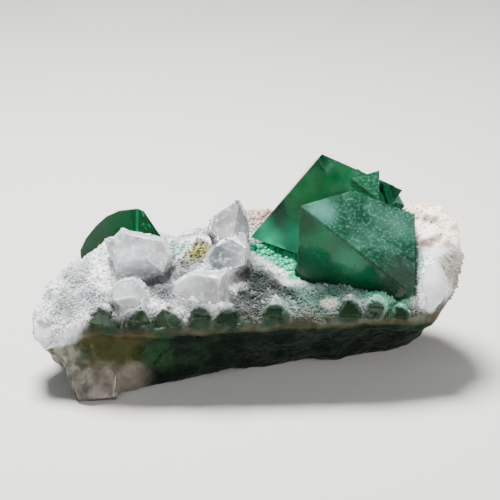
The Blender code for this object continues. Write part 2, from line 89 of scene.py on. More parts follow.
class Finish:
    """A material and the nodes that feed its shaders."""

    def __init__(self, name):
        self.material = bpy.data.materials.new(name)
        self.material.use_nodes = True
        self.tree = self.material.node_tree
        self.tree.nodes.clear()
        self.place = self.node("ShaderNodeTexCoord", output="Object")

    def node(self, kind, settings=None, inputs=None, output=0):
        """Adds one node: its settings first, then the values or links of its sockets."""
        made = self.tree.nodes.new(kind)
        for name, value in (settings or {}).items():
            if name == "stops":
                stops = made.color_ramp.elements
                for _ in value[2:]:
                    stops.new(1)
                for stop, (position, colour) in zip(stops, value):
                    stop.position = position
                    stop.color = colour
            else:
                setattr(made, name, value)
        for name, value in (inputs or {}).items():
            if isinstance(value, Value):
                self.tree.links.new(value.socket, made.inputs[name])
            else:
                made.inputs[name].default_value = value
        return Value(self, made.outputs[output]) if len(made.outputs) else None

    def math(self, operation, *values):
        return self.node("ShaderNodeMath", {"operation": operation}, dict(enumerate(values)))

    def mix(self, share, first, second):
        """A colour between two others."""
        return self.node("ShaderNodeMix", {"data_type": "RGBA"}, {0: share, 6: first, 7: second}, 2)

    def part(self, place, axis):
        """How far a place lies along one axis."""
        return self.node("ShaderNodeSeparateXYZ", None, {"Vector": place}, axis)

    def grain(self, size, detail=2, place=None):
        """Noise from 0 to 1 with lumps of about the given size."""
        inputs = {"Vector": place or self.place, "Scale": 1 / size, "Detail": detail}
        return self.node("ShaderNodeTexNoise", None, inputs)

    def between(self, value, low, high):
        """0 at low and 1 at high, with a soft start and end."""
        inputs = {"Value": value, "From Min": low, "From Max": high}
        return self.node("ShaderNodeMapRange", {"interpolation_type": "SMOOTHSTEP"}, inputs)

    def spot(self, place, centre, radius, core=0.0):
        """1 at a centre and 0 beyond a radius."""
        gap = self.node("ShaderNodeVectorMath", {"operation": "DISTANCE"}, {0: place, 1: centre}, "Value")
        return self.between(gap, radius, core * radius)

    def wander(self, size, reach):
        """The surface's place, shifted about by noise, for patches with ragged edges."""
        inputs = {"Vector": self.place, "Scale": 1 / size, "Detail": 3}
        colour = self.node("ShaderNodeTexNoise", None, inputs, "Color")
        away = self.node("ShaderNodeVectorMath", {"operation": "SUBTRACT"}, {0: colour, 1: (0.5, 0.5, 0.5)})
        away = self.node("ShaderNodeVectorMath", {"operation": "SCALE"}, {0: away, "Scale": reach})
        return self.node("ShaderNodeVectorMath", {"operation": "ADD"}, {0: self.place, 1: away})

    def bump(self, height, distance):
        """A fine relief of the given depth."""
        return self.node("ShaderNodeBump", None, {"Height": height, "Distance": distance, "Strength": 1.0})

    def shader(self, inputs):
        """One kind of body, such as stone or clear crystal."""
        return self.node("ShaderNodeBsdfPrincipled", None, inputs)

    def blend(self, share, first, second):
        """A body between two others."""
        return self.node("ShaderNodeMixShader", None, {0: share, 1: first, 2: second})

    def surface(self, shader):
        self.node("ShaderNodeOutputMaterial", None, {"Surface": shader})

    def clear_surface(self, shader, colour, density):
        """A surface whose body swallows light, more the further the light goes through it."""
        absorbed = self.node("ShaderNodeVolumeAbsorption", None, {"Color": colour, "Density": density})
        self.node("ShaderNodeOutputMaterial", None, {"Surface": shader, "Volume": absorbed})


def mesh_of(bm, name):
    """A mesh for a finished bmesh, which is used up."""
    mesh = bpy.data.meshes.new(name)
    bm.to_mesh(mesh)
    bm.free()
    return mesh


def shown(name, bm, finish, smooth=False):
    """An object for a finished bmesh, which is used up."""
    for face in bm.faces:
        face.smooth = smooth
    mesh = mesh_of(bm, name)
    mesh.materials.append(finish.material)
    obj = bpy.data.objects.new(name, mesh)
    bpy.context.scene.collection.objects.link(obj)
    return obj


card = Finish("pale_card")
tone = card.mix(card.grain(CARD_MOTTLE, 4) * 0.06, CARD_WHITE, CARD_GREY)
relief = card.bump(card.grain(CARD_FIBRE), CARD_RELIEF)
card.surface(card.shader({"Base Color": tone, "Roughness": 0.7, "Normal": relief}))
bm = bmesh.new()
bmesh.ops.create_grid(bm, x_segments=2, y_segments=2, size=FLOOR_SIZE / 2)
floor = shown("floor", bm, card)

for name, (place, size, power, colour) in LIGHTS.items():
    lamp = bpy.data.lights.new(name, "AREA")
    lamp.shape = "DISK"
    lamp.size = size * MM
    lamp.energy = power
    lamp.color = colour
    light = bpy.data.objects.new(name, lamp)
    light.location = Vector(place) * MM
    light.rotation_euler = (CAMERA_AIM - light.location).to_track_quat("-Z", "Y").to_euler()
    bpy.context.scene.collection.objects.link(light)

room = bpy.data.worlds.new("room")
room.use_nodes = True
room.node_tree.nodes["Background"].inputs["Color"].default_value = ROOM_LIGHT
room.node_tree.nodes["Background"].inputs["Strength"].default_value = ROOM_STRENGTH
bpy.context.scene.world = room

lens = bpy.data.cameras.new("camera")
lens.lens = CAMERA_LENS
camera = bpy.data.objects.new("camera", lens)
camera.location = CAMERA_PLACE
camera.rotation_euler = (CAMERA_AIM - CAMERA_PLACE).to_track_quat("-Z", "Y").to_euler()
bpy.context.scene.collection.objects.link(camera)
bpy.context.scene.camera = camera

# The rock: a slab of white quartz that has grown on a layer of dark green fluorite, with a seam of brown
# iron stain between the two. It is broken out of a vein, so its lower part is rough. Its base rests flat.
QUARTZ_IOR = 1.54
FLUORITE_IOR = 1.434
# Light of every colour sinks equally deep into the quartz
EVEN_DEPTH = (1.0, 1.0, 1.0)
QUARTZ_WHITE = (0.78, 0.80, 0.81, 1)
QUARTZ_GREY = (0.36, 0.39, 0.42, 1)
SHADOW_GREY = (0.085, 0.097, 0.11, 1)
SNOW = (0.90, 0.90, 0.91, 1)
CREAM = (0.99, 0.86, 0.66, 1)
PEACH = (0.80, 0.50, 0.34, 1)
BEIGE = (0.15, 0.13, 0.08, 1)
TAN = (0.15, 0.10, 0.05, 1)
BAND_BROWN = (0.085, 0.052, 0.024, 1)
DEEP_GREEN = (0.003, 0.007, 0.004, 1)
MOSS_GREEN = (0.010, 0.024, 0.011, 1)
LEAF_GREEN = (0.009, 0.034, 0.012, 1)
WINDOW_GREEN = (0.012, 0.032, 0.016, 1)
ROOT_QUARTZ = (0.12, 0.105, 0.085, 1)
ROOT_OLIVE = (0.030, 0.032, 0.010, 1)
ROOT_WHITE = (0.25, 0.245, 0.205, 1)
ROOT_SAGE = (0.085, 0.088, 0.058, 1)
LILAC_GREY = (0.17, 0.17, 0.19, 1)
RUST = (0.032, 0.014, 0.005, 1)
GOLD = (0.050, 0.037, 0.012, 1)
YELLOW = (0.19, 0.16, 0.012, 1)
SAGE = (0.030, 0.046, 0.024, 1)
TEAL = (0.12, 0.30, 0.27, 1)
PALE_TEAL = (0.60, 0.88, 0.86, 1)
SEA_GREEN = (0.013, 0.10, 0.068, 1)
BRIGHT_SEA = (0.034, 0.34, 0.18, 1)
MINT = (0.012, 0.42, 0.21, 1)
# Painted shade: dark greens and blue-greys for the dim hollows in front of and beside the middle crystals
PAINTED_SHADE_GREEN = (0.014, 0.026, 0.020, 1)
PAINTED_SHADE_BLUE = (0.022, 0.033, 0.035, 1)
SEAM_SHADE = (0.030, 0.040, 0.020, 1)
# Height of the seam along the specimen, as (x, z) in millimetres
SEAM_LINE = (
    (-62, 13.0), (-52, 15.0), (-46, 20.0), (-14, 21.4), (14, 22.8), (40, 22.4), (50, 21.4), (62, 24.0)
)
# The height in millimetres that white stands for where a ramp holds the seam's line
RAMP_HEIGHT = 40
# Heights above the seam between which a colour comes in
LAYER_TOP = (-0.2 * MM, -1.8 * MM)
SHADE_ABOVE = (5.2 * MM, 0.6 * MM)
SHADE_BELOW = (-2.4 * MM, -1.4 * MM)
SHADE_STRENGTH = 0.96
OLIVE_BELOW = (-9.0 * MM, -3.0 * MM)
# Places along the specimen between which a colour of the lower layer or of the seam comes in
ROOT_STARTS = (-26 * MM, -34 * MM)
PALE_ROOT_STARTS = (-37 * MM, -45 * MM)
GREEN_STARTS = (-16 * MM, -8 * MM)
SHADE_STARTS = (-49 * MM, -43 * MM)
STAIN_STARTS = (-52 * MM, -45 * MM)
THICK_STAINS = ((-18 * MM, -30 * MM), (38 * MM, 46 * MM))
# The brown stain and the thin gold line along the seam: half widths, and how far below it they lie
STAIN_WIDTH = 0.4 * MM
THICK_STAIN_GAIN = 1.0 * MM
STAIN_EDGE = (-0.7 * MM, 0.5 * MM)
STAIN_DROP = 0.8 * MM
GOLD_EDGE = (0.26 * MM, 0.08 * MM)
GOLD_DROP = 0.5 * MM
STAIN_STRENGTH = 0.75
# Stains and tints on the rock, with painted shade and painted light, as (place, radius, colour, strength) in
# millimetres, each even at its core
STAIN_CORE = 0.4
STAINS = (
    ((54.0, 4.0, 42.0), 15, CREAM, 0.95),
    ((50.0, 1.5, 39.6), 4.6, SNOW, 0.9),
    ((46.6, 5.6, 41.6), 2.2, BAND_BROWN, 0.6),
    ((49.4, 4.4, 41.5), 2.3, BAND_BROWN, 0.75),
    ((52.0, 3.2, 41.3), 2.2, BAND_BROWN, 0.75),
    ((54.6, 1.6, 40.8), 2.1, BAND_BROWN, 0.7),
    ((56.8, -0.4, 39.8), 2.0, BAND_BROWN, 0.6),
    ((49.4, -3.8, 37.6), 3.2, BAND_BROWN, 0.85),
    ((52.0, -2.6, 38.4), 2.6, BAND_BROWN, 0.75),
    ((57.0, -9.5, 31.0), 8.5, BEIGE, 0.75),
    ((46.0, 9.0, 42.0), 5.0, PEACH, 0.6),
    ((2.0, 15.0, 39.5), 7.0, PEACH, 0.6),
    ((-3.0, 18.0, 38.5), 5.0, BEIGE, 0.6),
    ((5.0, 14.0, 39.0), 2.2, BAND_BROWN, 0.4),
    ((-19.5, -3.6, 31.1), 7.5, SAGE, 0.8),
    ((-21.8, 6.0, 31.5), 6.0, TEAL, 0.8),
    ((-13.0, 1.0, 33.0), 8.0, SAGE, 0.7),
    ((-16.0, 1.3, 32.8), 5.5, YELLOW, 0.3),
    ((-14.0, 3.0, 32.8), 6.4, YELLOW, 0.75),
    # painted shade: the grey hollow under and beside the large quartz crystal
    ((-24.5, -18.0, 30.0), 7.0, SHADOW_GREY, 0.7),
    ((-22.5, -21.0, 29.5), 5.5, SHADOW_GREY, 0.85),
    ((-20.0, -11.0, 31.0), 6.0, LILAC_GREY, 0.8),
    ((-44.4, -20.0, 27.0), 6.0, QUARTZ_GREY, 0.6),
    ((-50.0, -10.0, 29.0), 4.0, QUARTZ_GREY, 0.5),
    ((-42.6, -26.5, 25.4), 3.6, WINDOW_GREEN, 0.9),
    ((-42.0, -28.0, 19.5), 5.0, ROOT_OLIVE, 0.6),
    ((-33.0, -28.0, 20.0), 5.0, ROOT_OLIVE, 0.6),
    ((-46.5, -12.0, 30.0), 4.0, TAN, 0.18),
    ((-52.0, -18.0, 25.5), 4.5, SEA_GREEN, 0.45),
    ((-47.5, -6.0, 31.0), 5.5, TEAL, 0.5),
    ((-36.0, 4.0, 33.0), 7.0, TEAL, 0.45),
    ((-43.5, -3.0, 34.0), 6.0, SNOW, 0.3),
    ((-40.0, -16.0, 31.0), 5.0, SNOW, 0.6),
    ((-9.0, -8.0, 32.0), 5.0, TEAL, 0.3),
    ((-14.5, -24.0, 27.5), 5.0, QUARTZ_GREY, 0.6),
    # painted shade: the dim front below the middle crystals
    ((-1.0, -23.0, 26.5), 9.0, PAINTED_SHADE_BLUE, 0.9),
    ((9.0, -21.0, 26.0), 8.0, SEA_GREEN, 0.75),
    ((18.0, -19.5, 27.0), 10.5, SEA_GREEN, 0.85),
    ((28.0, -20.5, 27.0), 10.5, SEA_GREEN, 0.85),
    ((38.0, -21.0, 27.0), 9.0, BRIGHT_SEA, 0.85),
    ((21.7, -22.0, 26.5), 3.6, QUARTZ_WHITE, 0.5),
    ((31.0, -23.5, 27.0), 2.6, QUARTZ_GREY, 0.6),
    # painted shade: the dim hollows beside the foot of the middle crystals
    ((-0.3, -9.5, 31.0), 7.0, PAINTED_SHADE_BLUE, 0.8),
    ((3.5, -14.5, 30.3), 7.5, PAINTED_SHADE_GREEN, 0.95),
    ((0.0, -17.5, 28.5), 6.0, PAINTED_SHADE_GREEN, 0.7),
    ((9.0, -18.0, 28.9), 5.0, PAINTED_SHADE_BLUE, 0.8),
    # painted light: mint green on the rock under the rear fluorite, where light comes down through it
    ((3.4, 2.0, 33.0), 5.0, MINT, 1.0),
    ((7.0, -0.5, 31.4), 5.0, MINT, 1.0),
    ((10.8, -2.8, 31.0), 4.6, MINT, 1.0),
    ((11.6, -9.6, 29.8), 3.2, MINT, 1.0),
    ((7.6, 2.4, 32.0), 4.6, MINT, 1.0),
    ((11.6, 0.6, 31.2), 4.6, MINT, 1.0),
    ((47.7, -9.5, 33.6), 6.0, PALE_TEAL, 0.7),
    ((21.7, -22.0, 26.5), 2.6, PEACH, 0.35),
    ((-22.2, -26.6, 27.0), 1.3, TAN, 0.9),
    ((-30.1, -26.4, 26.4), 0.7, RUST, 0.9),
    ((-7.7, -24.8, 26.8), 0.9, RUST, 1.0),
    ((-26.0, -25.5, 13.0), 6.0, LEAF_GREEN, 0.8),
    ((-23.5, -23.5, 8.5), 5.0, LEAF_GREEN, 0.7),
    ((-45.9, -27.6, 13.7), 2.2, LEAF_GREEN, 0.6),
)
PIT_SIZE = 0.7 * MM
PIT_DEPTH = 0.15 * MM
CHIP_SIZE = 1.8 * MM
CHIP_DEPTH = 0.3 * MM
VOXEL = 0.6 * MM
# Lumps of the quartz above the seam and chips of the layer below it, as (height, width) in millimetres
LUMPS = ((0.6, 4.6), (0.25, 1.7))
CHIPS = ((1.1, 7.5), (0.5, 3.0))
CHIP_MIDDLE = 0.4
SEAM_SOFTNESS = 1.5 * MM
BASE_CLEAR = 0.8 * MM
# The real right end is blunter than the solid's: past this x the skin is drawn in
RIGHT_END = 57.5 * MM
END_ROUNDING = 0.6
# The quartz crystals that the rock's skin grows up against, by CAD node
QUARTZ_CRYSTALS = {
    "large_quartz_crystal": "large_milky_quartz",
    "small_quartz_crystal": "small_milky_quartz",
    "quartz_block": "milky_quartz_block",
    "middle_quartz_crystals": "middle_milky_quartz",
    "left_end_quartz_crystal": "left_end_milky_quartz",
    "lower_left_quartz_root": "lower_left_milky_quartz",
    "right_quartz_crystal": "right_milky_quartz",
}
SKIN_SWELL = 0.45 * MM
SKIN_SINK = 0.3 * MM
SKIN_STRETCH = 1.6
SKIN_SMOOTHING = 5
SKIN_HUG = (0.5 * MM, 1.1 * MM)
# Where crusts of fine quartz climb the foot of the quartz crystals, and their ragged upper edge
CRUST_REACH = 3.6 * MM
CRUST_NOISE = 3.2 * MM
CRUST_EDGE = (0.42, 0.62)
CRUST_RAGGED = 0.7
CRUST_PATCHES = (((-44.0, -9.0, 34.0), 8.0), ((-10.0, 2.0, 39.0), 4.5), ((-50.5, -28.0, 19.0), 4.0))
PATCH_REACH = 1.4
# The fluorites of the seam: the share of their depth that stands out of the rock, and the green glow round
# each of them, where it lies deeper in the quartz
SEAM_FLUSH = 0.35
GLOW_SIZE = 0.7
GLOW_CORE = 0.7
GLOW_STRENGTH = 0.95
WINDOW_CRUST = -0.24
WINDOW_GLOWS = {}
for node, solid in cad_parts.items():
    if node.startswith("seam_fluorite"):
        corners = [vert.co for vert in solid.data.vertices]
        low = Vector([min(corner[axis] for corner in corners) for axis in range(3)])
        high = Vector([max(corner[axis] for corner in corners) for axis in range(3)])
        middle = Vector(((low.x + high.x) / 2, low.y, (low.z + high.z) / 2))
        WINDOW_GLOWS[node] = (middle, GLOW_SIZE * (high.x - low.x))


def merged_copy(node):
    """A copy of a CAD node with its loose triangles joined."""
    bm = bmesh.new()
    bm.from_mesh(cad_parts[node].data)
    bmesh.ops.remove_doubles(bm, verts=bm.verts, dist=0.001 * MM)
    return bm


def crystal_solid(node):
    """A copy of a crystal; those of the seam are pressed back to stand nearly flush with the rock."""
    bm = merged_copy(node)
    if node in WINDOW_GLOWS:
        level = matrix_tree.find_nearest(WINDOW_GLOWS[node][0])[0].y
        for vert in bm.verts:
            if vert.co.y < level:
                vert.co.y = level + (vert.co.y - level) * SEAM_FLUSH
    return bm


def add_solid(bm, solid):
    """Adds another bmesh, which is used up, to a bmesh."""
    mesh = mesh_of(solid, "copy")
    bm.from_mesh(mesh)
    bpy.data.meshes.remove(mesh)


def tree_of(nodes):
    """A search tree of the surfaces of some crystals."""
    bm = bmesh.new()
    for node in nodes:
        add_solid(bm, crystal_solid(node))
    tree = BVHTree.FromBMesh(bm)
    bm.free()
    return tree


def between(value, low, high):
    """0 at low and 1 at high, with a soft start and end."""
    share = min(max((value - low) / (high - low), 0), 1)
    return share * share * (3 - 2 * share)


def seam_height(x):
    """The height of the seam at x."""
    for (x0, z0), (x1, z1) in zip(SEAM_LINE, SEAM_LINE[1:]):
        if x < x1 * MM:
            break
    return (z0 + (z1 - z0) * (x - x0 * MM) / ((x1 - x0) * MM)) * MM


def above_seam(finish, place):
    """How far a place lies above the seam."""
    low, high = SEAM_LINE[0][0] * MM, SEAM_LINE[-1][0] * MM
    share = (finish.part(finish.place, "X") - low) * (1 / (high - low))
    stops = []
    for x, z in SEAM_LINE:
        level = z / RAMP_HEIGHT
        stops.append(((x * MM - low) / (high - low), (level, level, level, 1)))
    seam = finish.node("ShaderNodeValToRGB", {"stops": stops}, {"Fac": share})
    level = finish.node("ShaderNodeSeparateColor", None, {"Color": seam})
    return finish.part(place, "Z") - level * (RAMP_HEIGHT * MM)


def layer_colour(finish, above, along):
    """The colour of the lower layer: dark green fluorite, darkened further with painted shade, and pale
    broken quartz at the left end.
    """
    # painted shade: the layer's own dark green is darkened further, for the shade under the slab
    green = finish.mix(finish.between(finish.grain(6 * MM, 4), 0.45, 0.72), DEEP_GREEN, MOSS_GREEN)
    olive = finish.between(finish.grain(4 * MM, 4) * (9 * MM) + above, *OLIVE_BELOW)
    broken = finish.mix(olive, ROOT_QUARTZ, ROOT_OLIVE)
    mottled = finish.mix(finish.between(finish.grain(3 * MM, 6), 0.38, 0.62), ROOT_WHITE, ROOT_SAGE)
    pale = finish.between(finish.grain(6 * MM, 4) * (14 * MM) + along, *PALE_ROOT_STARTS)
    broken = finish.mix(pale * 0.9, broken, mottled)
    return finish.mix(finish.between(along, *ROOT_STARTS), green, broken)


def seam_stained(finish, colour, above, along):
    """A colour with the brown stain and the thin gold line of the seam laid over it."""
    half = STAIN_WIDTH
    for limits in THICK_STAINS:
        half = finish.between(along, *limits) * THICK_STAIN_GAIN + half
    away = finish.math("ABSOLUTE", above + STAIN_DROP)
    patchy = finish.between(finish.grain(7 * MM, 3), 0.38, 0.55)
    stain = finish.between(half - away, *STAIN_EDGE) * patchy
    begun = finish.between(along, *STAIN_STARTS)
    brown = finish.mix(finish.between(finish.grain(2.5 * MM, 3), 0.35, 0.6), GOLD, RUST)
    colour = finish.mix(stain * begun * STAIN_STRENGTH, colour, brown)
    hair = finish.between(finish.math("ABSOLUTE", above + GOLD_DROP), *GOLD_EDGE)
    broken = finish.between(finish.grain(3 * MM), 0.42, 0.62)
    return finish.mix(hair * begun * broken * STAIN_STRENGTH, colour, GOLD)


def rock_colours(finish):
    """The colour of the rock and its druse by place, and 1 where a place lies below the seam."""
    place = finish.wander(5 * MM, 3.2 * MM)
    above = above_seam(finish, place)
    along = finish.part(place, "X")
    colour = finish.mix(finish.between(finish.grain(6 * MM, 4), 0.42, 0.72), QUARTZ_WHITE, QUARTZ_GREY)
    layer = layer_colour(finish, above, along)
    lower = finish.between(above, *LAYER_TOP)
    colour = finish.mix(lower, colour, layer)
    for centre, radius, stain, strength in STAINS:
        mask = finish.spot(place, Vector(centre) * MM, radius * MM, STAIN_CORE) * strength
        colour = finish.mix(mask, colour, stain)
    colour = finish.mix(lower * finish.between(along, *GREEN_STARTS), colour, layer)
    shade = finish.between(above, *SHADE_ABOVE) * finish.between(along, *SHADE_STARTS) * SHADE_STRENGTH
    colour = finish.mix(shade * finish.between(above, *SHADE_BELOW), colour, SEAM_SHADE)
    soft = finish.wander(3 * MM, 1.6 * MM)
    for centre, radius in WINDOW_GLOWS.values():
        glow = finish.spot(soft, centre, radius, GLOW_CORE) * GLOW_STRENGTH
        colour = finish.mix(glow, colour, WINDOW_GREEN)
    return seam_stained(finish, colour, above, along), lower


def skin_move(place, normal):
    """How far a point of the skin moves: lumps and chips, and crusts or a close fit at each crystal."""
    below = between(seam_height(place.x) - place.z, 0, SEAM_SOFTNESS)
    swell = sum(rise * noise.noise(place / (spacing * MM)) for rise, spacing in LUMPS)
    chipped = 0
    for rise, spacing in CHIPS:
        chipped += rise * (noise.voronoi(place / (spacing * MM))[0][0] - CHIP_MIDDLE)
    move = normal * (swell * (1 - below) + chipped * below) * MM
    near, facing, _, gap = quartz_tree.find_nearest(place)
    at_window = window_tree.find_nearest(place)
    if at_window[3] < gap:
        near, facing, _, gap = at_window
        glows = WINDOW_GLOWS.values()
        foot = min((place - centre).length / radius for centre, radius in glows) + WINDOW_CRUST
    else:
        foot = 1 - matrix_tree.find_nearest(place)[3] / CRUST_REACH
        for centre, radius in CRUST_PATCHES:
            foot = max(foot, PATCH_REACH - (place - Vector(centre) * MM).length / (radius * MM))
    out = (place - near).dot(facing)
    if out <= -SKIN_SWELL:
        return Vector((0, 0, 0))
    hug = 1 - between(max(out, gap if out > 0 else 0), *SKIN_HUG)
    crust = between(foot + CRUST_RAGGED * noise.noise(place / CRUST_NOISE), *CRUST_EDGE)
    level = -SKIN_SINK + (SKIN_SINK + SKIN_SWELL) * crust
    return move.lerp(facing * (level - out), hug) * min(1, place.z / BASE_CLEAR)


rock_finish = Finish("white_quartz_rock")
colour, lower = rock_colours(rock_finish)
pits = rock_finish.grain(PIT_SIZE, 4)
worn = rock_finish.between(pits, 0.2, 0.8) * 0.3
chips = rock_finish.node(
    "ShaderNodeTexVoronoi",
    {"feature": "F1"},
    {"Vector": rock_finish.wander(3 * MM, 1.5 * MM), "Scale": 1 / CHIP_SIZE},
)
quartz = rock_finish.shader(
    {
        # painted shade: the rock is a little darker in its fine pits
        "Base Color": rock_finish.mix(rock_finish.between(pits, 0.55, 0.3) * 0.12, colour, PAINTED_SHADE_BLUE),
        "Roughness": worn + 0.3,
        "IOR": QUARTZ_IOR,
        "Specular IOR Level": 0.15,
        "Subsurface Weight": 0.45,
        "Subsurface Radius": EVEN_DEPTH,
        "Subsurface Scale": 1.5 * MM,
        "Normal": rock_finish.bump(pits, PIT_DEPTH),
    }
)
massive = rock_finish.shader(
    {
        "Base Color": colour,
        "Roughness": worn + 0.25,
        "IOR": FLUORITE_IOR,
        "Specular IOR Level": 0.08,
        "Normal": rock_finish.bump(chips, CHIP_DEPTH),
    }
)
rock_finish.surface(rock_finish.blend(lower, quartz, massive))
bm = merged_copy("quartz_matrix")
matrix_tree = BVHTree.FromBMesh(bm)
for node in list(QUARTZ_CRYSTALS) + list(WINDOW_GLOWS):
    grown = crystal_solid(node)
    grown.normal_update()
    for vert in grown.verts:
        vert.co += vert.normal * SKIN_SWELL * min(vert.calc_shell_factor(), SKIN_STRETCH)
    add_solid(bm, grown)
rough = shown("quartz_rock", bm, rock_finish, smooth=True)
voxels = rough.modifiers.new("voxels", "REMESH")
voxels.mode = "VOXEL"
voxels.voxel_size = VOXEL
bm = bmesh.new()
bm.from_object(rough, bpy.context.evaluated_depsgraph_get())
bpy.data.objects.remove(rough)
for _ in range(SKIN_SMOOTHING):
    bmesh.ops.smooth_vert(bm, verts=bm.verts, factor=0.5, use_axis_x=True, use_axis_y=True, use_axis_z=True)
bm.normal_update()
quartz_tree = tree_of(QUARTZ_CRYSTALS)
window_tree = tree_of(WINDOW_GLOWS)
moves = [skin_move(vert.co, vert.normal) for vert in bm.verts]
for vert, move in zip(bm.verts, moves):
    vert.co += move
    vert.co.z = max(vert.co.z, 0)
    vert.co.x = min(vert.co.x, RIGHT_END + (vert.co.x - RIGHT_END) * END_ROUNDING)
rock_surface = bm.copy()
rock = shown("quartz_rock", bm, rock_finish, smooth=True)
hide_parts("quartz_matrix")
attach(rock, "root")

# The druse: the rock's skin of six-sided quartz points, half a millimetre to a millimetre across, that stand
# close together and lean into one another. They have grown on the rock, up to the larger crystals.
GRAIN_SIZES = (0.45, 0.95)
GRAIN_STRETCHES = (0.7, 1.5)
BIG_GRAIN = 2.0
BIG_SHARE = 0.01
# One unit wide: the prism's height, its narrower top, its point, and how uneven its corners are
GRAIN_BODY = 0.9
GRAIN_TOP = 0.47
GRAIN_POINT = 0.42
GRAIN_UNEVEN = 0.07
GRAIN_SHAPES = 6
GRAIN_SPACING = 0.6
GRAIN_SINK = 0.72
GRAIN_SWAY = 0.4
GRAIN_TRIES = 120000
GRAINS_A_PIECE = 10500
CRYSTAL_CLEAR = 0.1 * MM
SOCKET_REACH = 0.8 * MM
SOCKET_FACING = 0.5
CRYSTALS = [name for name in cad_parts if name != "quartz_matrix"]
# Where druse covers the rock: heights above the seam in front and behind, and the nearly bare right lobe
FRONT_COVER = (0.2 * MM, 1.4 * MM)
BACK_COVER = (-14 * MM, 0)
STEEPEST = -0.6
STEEP = (0.35, 0.75)
STEEP_LEAST = 0.18
THIN_LEAST = 0.2
LOBE = Vector((54, 4, 40)) * MM
LOBE_COVER = (11 * MM, 18 * MM)
LOBE_LEAST = 0.08
GLOW_CLEAR = 0.6
FRINGE_CLEAR = 0.8
# The druse is kept as three pieces, parted by lines across the specimen
BAND_LINES = (-12 * MM, 10 * MM)
FRINGE_START = Vector((3.5, 3.0, 33.2)) * MM
FRINGE_END = Vector((11.6, -2.6, 31.0)) * MM
FRINGE_WIDTH = 3.9 * MM
DRAW = random.Random(11)


def grain_shapes(count):
    """Meshes of small quartz points one unit wide, each a little uneven."""
    made = []
    for number in range(count):
        bm = bmesh.new()
        bmesh.ops.create_cone(
            bm, segments=6, radius1=0.5, radius2=GRAIN_TOP, depth=GRAIN_BODY, cap_ends=True
        )
        ends = [face for face in bm.faces if len(face.verts) == 6]
        bottom, top = sorted(ends, key=lambda face: face.calc_center_median().z)
        bmesh.ops.poke(bm, faces=[top], offset=GRAIN_POINT)
        bmesh.ops.delete(bm, geom=[bottom], context="FACES_ONLY")
        for vert in bm.verts:
            vert.co += Vector([DRAW.uniform(-GRAIN_UNEVEN, GRAIN_UNEVEN) for _ in range(3)])
            vert.co.z += GRAIN_BODY / 2
        made.append(mesh_of(bm, f"grain_{number}"))
    return made


def stood(shapes, spots, name, finish):
    """One mesh of many small shapes, each at its place, turned along its axis and scaled."""
    bm = bmesh.new()
    for number, (place, axis, size, stretch) in enumerate(spots):
        turn = axis.to_track_quat("Z", "Y").to_matrix() @ Matrix.Rotation(DRAW.uniform(0, math.tau), 3, "Z")
        mesh = shapes[number % len(shapes)].copy()
        mesh.transform(Matrix.LocRotScale(place, turn.to_quaternion(), (size, size, size * stretch)))
        bm.from_mesh(mesh)
        bpy.data.meshes.remove(mesh)
    return shown(name, bm, finish)


crystal_tree = tree_of(CRYSTALS)


def from_fringe(place):
    """How far a place lies from the line of the mint fringe."""
    along = FRINGE_END - FRINGE_START
    share = min(max((place - FRINGE_START).dot(along) / along.length_squared, 0), 1)
    return (place - FRINGE_START - along * share).length


def druse_cover(place, normal):
    """The share of the rock's surface at a place that druse covers."""
    if place.z < BASE_CLEAR or normal.z < STEEPEST:
        return 0.0
    above = place.z - seam_height(place.x)
    if place.y < 0:
        cover = between(above, *FRONT_COVER)
        patchy = between(noise.noise(place / (6 * MM)), 0.0, 0.25)
        cover *= STEEP_LEAST + (1 - STEEP_LEAST) * max(between(normal.z, *STEEP), patchy)
    else:
        cover = between(above, *BACK_COVER)
    cover *= THIN_LEAST + (1 - THIN_LEAST) * between(noise.noise(place / (9 * MM)), -0.35, 0.1)
    cover *= between(from_fringe(place), FRINGE_CLEAR * FRINGE_WIDTH, FRINGE_WIDTH)
    for centre, radius in WINDOW_GLOWS.values():
        cover *= between((place - centre).length, GLOW_CLEAR * radius, radius)
    return cover * (LOBE_LEAST + (1 - LOBE_LEAST) * between((place - LOBE).length, *LOBE_COVER))


def by_crystal(place, normal):
    """True inside a crystal and in the narrow gap beside one."""
    near, facing, _, gap = crystal_tree.find_nearest(place)
    if (place - near).dot(facing) < CRYSTAL_CLEAR:
        return True
    return gap < SOCKET_REACH and (near - place).dot(normal) > SOCKET_FACING * gap


